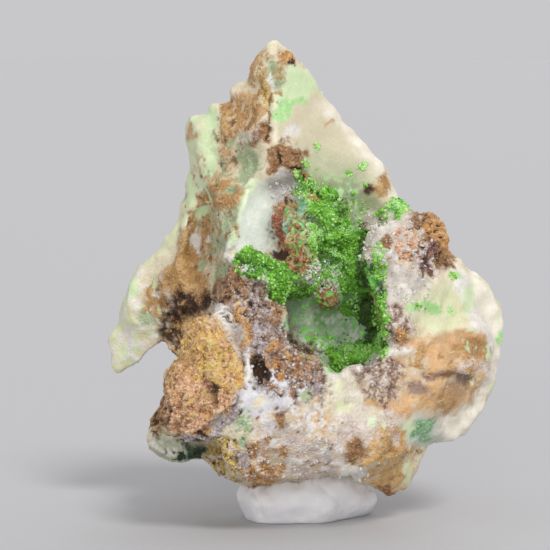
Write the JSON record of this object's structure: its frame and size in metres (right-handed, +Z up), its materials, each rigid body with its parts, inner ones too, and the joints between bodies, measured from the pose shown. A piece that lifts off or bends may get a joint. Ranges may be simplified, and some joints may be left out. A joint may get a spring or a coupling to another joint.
{
  "type": "conichalcite specimen",
  "caption": "Rough, pointed lump of rusty and milky white rock with a green crystal-lined hollow, standing on a pad of white putty.",
  "frame": {"origin": "middle of the putty pad's flat underside, which rests on the surface", "axes": "+Z up along the rock's height, +X to the right as seen from the side with the hollow, +Y away from that side"},
  "size_m": [0.0402, 0.0268, 0.0489],
  "materials": {
    "matrix": "rough, rusty limonite and milky white quartz crust",
    "conichalcite": "bright green, finely crystalline",
    "putty": "matte white putty"
  },
  "bodies": {
    "root": {"matrix": "matrix", "conichalcite_crust": "conichalcite", "putty_pad": "putty"}
  },
  "joints": []
}
